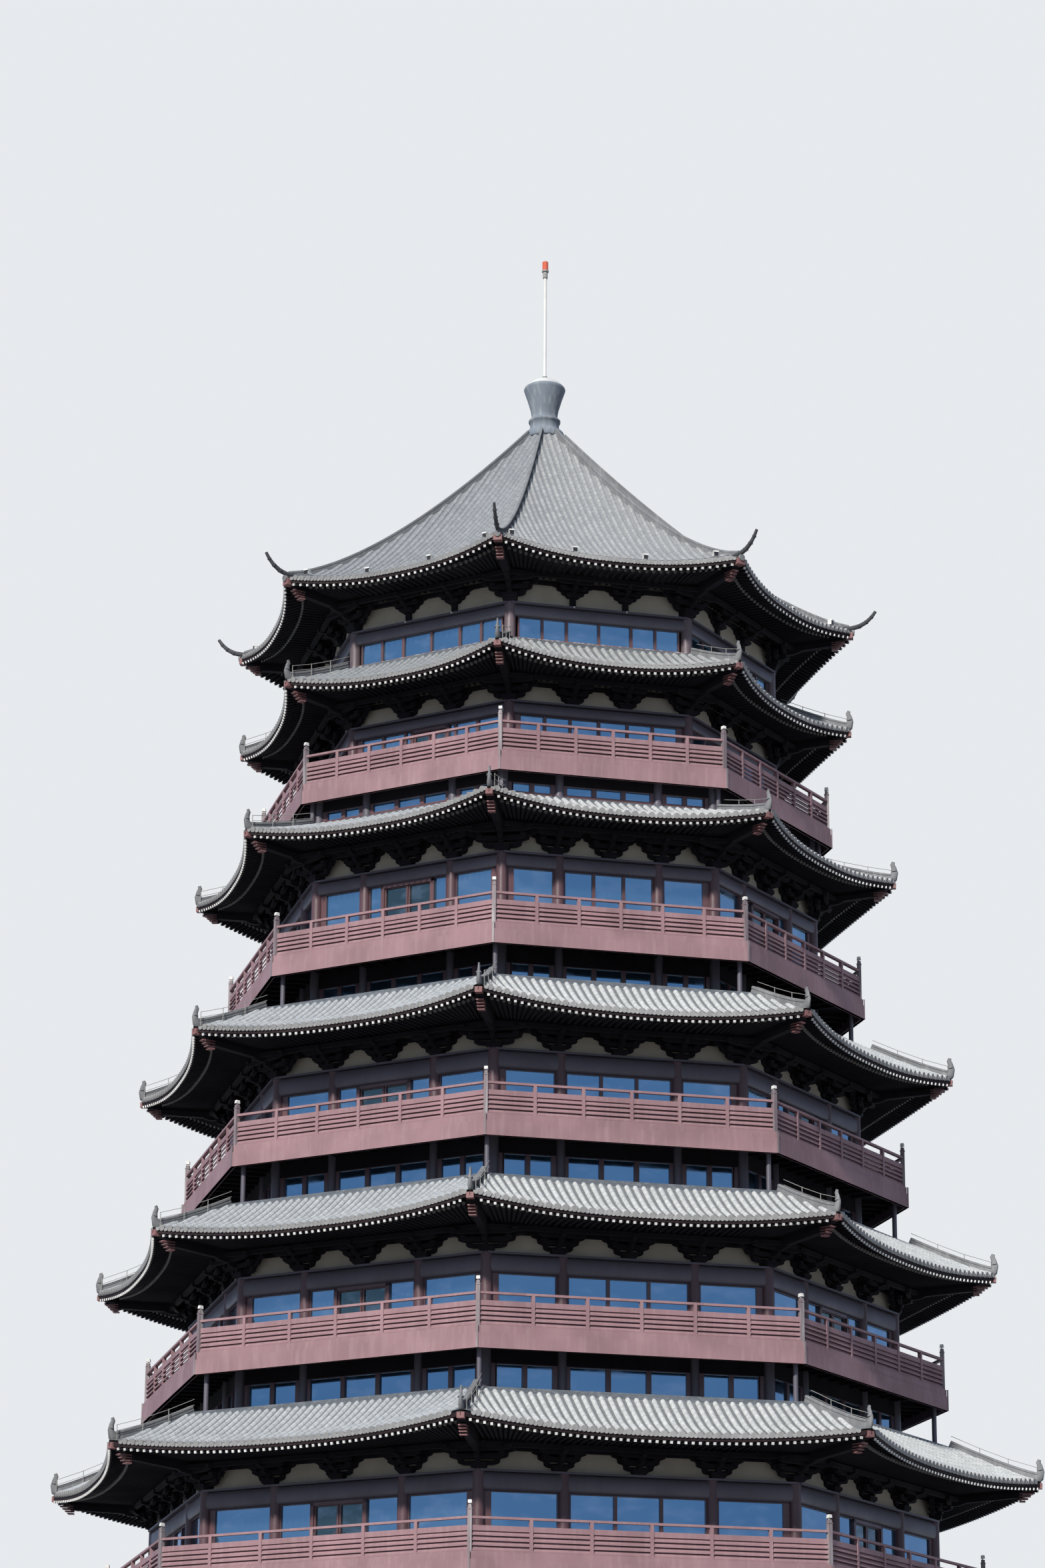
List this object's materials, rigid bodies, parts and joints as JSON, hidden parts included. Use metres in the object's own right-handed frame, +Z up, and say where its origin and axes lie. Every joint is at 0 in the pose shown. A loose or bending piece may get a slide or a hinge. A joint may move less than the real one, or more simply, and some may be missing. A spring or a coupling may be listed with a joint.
{
  "type": "pagoda, 1:2 scale model",
  "caption": "Eight-sided timber pagoda with upswept tiled eaves, railed balconies, a flared finial and a lightning pole; a half-size model.",
  "frame": {"origin": "on the ground under the centre of the tower, at the underside of the plinth", "axes": "+Z up the tower's axis; +X, +Y, -X and -Y look out through the four ground doorways"},
  "size_m": [21.2928, 21.2928, 36.45],
  "materials": {
    "timber": "satin",
    "dark_timber": "satin",
    "plaster": "matte",
    "white_paint": "satin",
    "tile": "matte",
    "rail_paint": "satin",
    "masonry": "matte",
    "glazing": "gloss",
    "white_metal": "satin",
    "red_lamp": "gloss"
  },
  "bodies": {
    "root": {"plinth": "masonry", "wall_1": "timber", "glass_1": "glazing", "frame_1": "dark_timber", "roof_1": "tile", "wall_2": "timber", "glass_2": "glazing", "frame_2": "dark_timber", "roof_2": "tile", "balcony_2": "rail_paint", "railing_2": "rail_paint", "recess_glass_2": "glazing", "wall_3": "timber", "glass_3": "glazing", "frame_3": "dark_timber", "roof_3": "tile", "balcony_3": "rail_paint", "railing_3": "rail_paint", "recess_glass_3": "glazing", "wall_4": "timber", "glass_4": "glazing", "frame_4": "dark_timber", "roof_4": "tile", "balcony_4": "rail_paint", "railing_4": "rail_paint", "recess_glass_4": "glazing", "wall_5": "timber", "glass_5": "glazing", "frame_5": "dark_timber", "roof_5": "tile", "balcony_5": "rail_paint", "railing_5": "rail_paint", "recess_glass_5": "glazing", "wall_6": "timber", "glass_6": "glazing", "frame_6": "dark_timber", "roof_6": "tile", "balcony_6": "rail_paint", "railing_6": "rail_paint", "recess_glass_6": "glazing", "wall_7": "timber", "glass_7": "glazing", "frame_7": "dark_timber", "roof_7": "tile", "balcony_7": "rail_paint", "railing_7": "rail_paint", "crown_frame": "dark_timber", "top_roof": "tile", "finial": "tile", "lightning_pole": "white_metal", "aviation_lamp": "red_lamp"}
  },
  "joints": []
}
